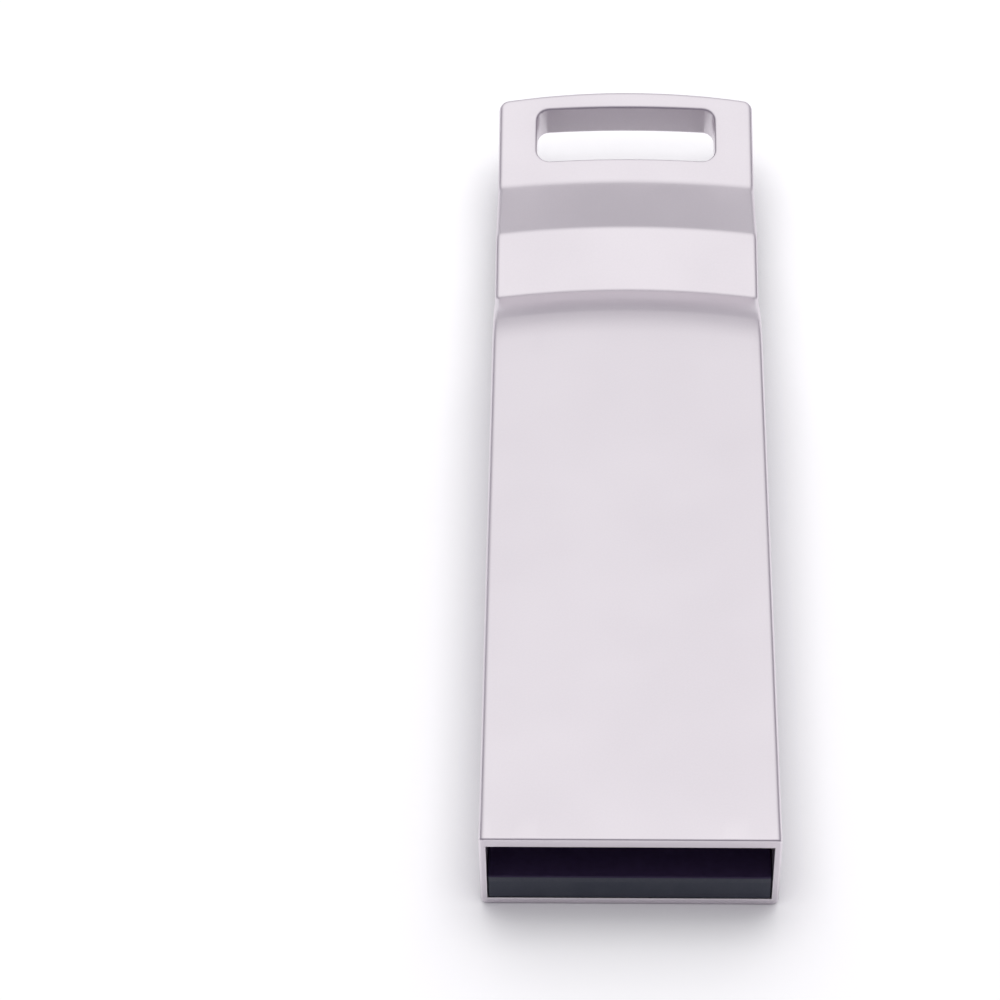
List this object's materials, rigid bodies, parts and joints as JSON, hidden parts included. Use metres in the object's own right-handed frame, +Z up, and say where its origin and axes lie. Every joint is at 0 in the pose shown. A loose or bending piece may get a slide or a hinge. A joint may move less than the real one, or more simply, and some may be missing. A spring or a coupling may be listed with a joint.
{
  "type": "usb flash drive",
  "caption": "USB flash drive cast as one flat satin metal stick: the open-mouthed body is the plug, and a waved tail ends in a strap loop.",
  "frame": {"origin": "middle of the bounding box's bottom; the flat underside of the body lies on Z = 0", "axes": "+X across, +Y from the plug's open mouth to the strap loop, +Z up, the side the contacts face"},
  "size_m": [0.012, 0.044, 0.0045],
  "materials": {
    "satin_metal": "satin plated zinc, very fine grain",
    "tape": "matt",
    "adhesive": "translucent, glossy",
    "laminate": "dark solder mask",
    "epoxy": "matt moulding compound",
    "gilt": "gold plated",
    "silicon": "polished",
    "white_ceramic": "matt",
    "lid_metal": "plain",
    "tan_ceramic": "matt body, tinned ends",
    "dark_ceramic": "matt body, tinned ends"
  },
  "bodies": {
    "root": {"housing": "satin_metal", "mounting_tape": "tape", "retaining_glue": "adhesive", "module_substrate": "laminate", "module_mould": "epoxy", "contact_vbus": "gilt", "contact_d_minus": "gilt", "contact_d_plus": "gilt", "contact_ground": "gilt", "test_pads": "gilt", "controller_die": "silicon", "flash_die_1": "silicon", "flash_die_2": "silicon", "flash_die_3": "silicon", "flash_die_4": "silicon", "die_attach_films": "adhesive", "memory_bond_wires": "gilt", "controller_bond_wires": "gilt", "crystal_base": "white_ceramic", "crystal_lid": "lid_metal", "capacitor_1": "tan_ceramic", "capacitor_2": "tan_ceramic", "capacitor_3": "tan_ceramic", "capacitor_4": "tan_ceramic", "resistor_1": "dark_ceramic", "resistor_2": "dark_ceramic", "resistor_3": "dark_ceramic"}
  },
  "joints": []
}
